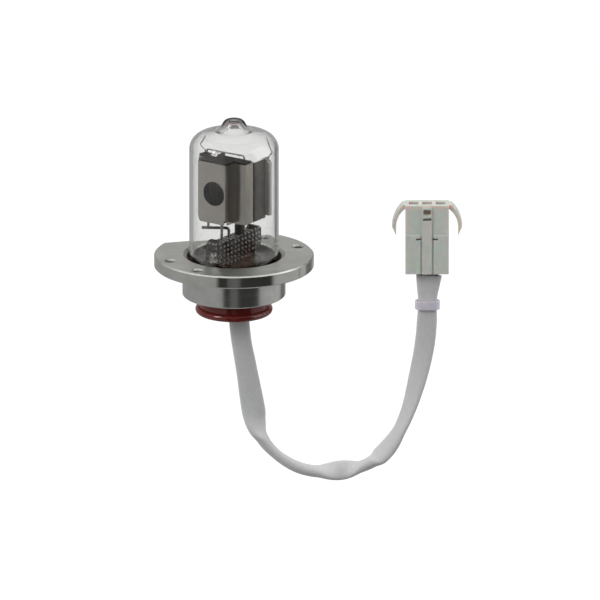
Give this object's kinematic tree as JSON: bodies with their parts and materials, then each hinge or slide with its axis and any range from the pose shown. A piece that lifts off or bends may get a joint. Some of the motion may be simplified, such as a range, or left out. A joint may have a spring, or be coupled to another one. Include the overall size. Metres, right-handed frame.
{
  "type": "deuterium lamp",
  "caption": "Pre-aligned deuterium arc lamp: glass bulb with electrode assembly on a keyed steel mounting flange, red silicone plug and a sleeved lead with a nylon connector.",
  "frame": {"origin": "centre of the mounting flange's underside, on the bulb's axis", "axes": "+Z along the bulb towards its sealed tip; the long side of the screw hole rectangle lies along Y; the light leaves 14.5 degrees to the +X side of -Y; the lead hangs towards +X and +Y"},
  "size_m": [0.0703, 0.0815, 0.1182],
  "materials": {
    "bulb_glass": "clear, thin",
    "stem_glass": "clear, pressed with a waffle pattern",
    "flange_steel": "satin nickel-plated steel",
    "holder_steel": "bright turned",
    "nickel_sheet": "rolled, slightly dulled nickel",
    "dark_plate": "matt dark",
    "molybdenum": "satin",
    "lead_wire": "drawn wire",
    "tungsten": "coated filament wire",
    "insulator": "dark glazed bead",
    "cement": "matt brown-grey",
    "red_silicone": "glossy deep red",
    "wire_skin": "insulated wire",
    "woven_sleeve": "white and grey woven sleeving",
    "band_skin": "translucent shrink band",
    "natural_nylon": "translucent natural white",
    "tinned": "tinned"
  },
  "bodies": {
    "root": {"mounting_flange": "flange_steel", "lamp_holder": "holder_steel", "glass_bulb": "bulb_glass", "press_stem": "stem_glass", "base_cement": "cement", "silicone_plug": "red_silicone", "front_shield": "nickel_sheet", "shield_box": "nickel_sheet", "rear_cover": "nickel_sheet", "lower_spacer": "dark_plate", "upper_spacer": "dark_plate", "spacer_frame": "dark_plate", "side_plate": "dark_plate", "aperture_plate": "molybdenum", "cathode_baffle": "nickel_sheet", "anode_plate": "molybdenum", "filament": "tungsten", "filament_post": "lead_wire", "front_lead": "lead_wire", "cathode_lead": "lead_wire", "anode_lead": "lead_wire", "rear_lead": "lead_wire", "anode_insulator": "insulator", "top_bail": "lead_wire", "bail_tab": "nickel_sheet", "right_spring": "lead_wire", "left_spring": "lead_wire", "crimp_ferrules": "tinned", "base_wires": "wire_skin", "lead_sleeve": "woven_sleeve", "sleeve_band": "band_skin", "connector_wires": "wire_skin", "socket_contacts": "tinned", "connector_housing": "natural_nylon"}
  },
  "joints": []
}
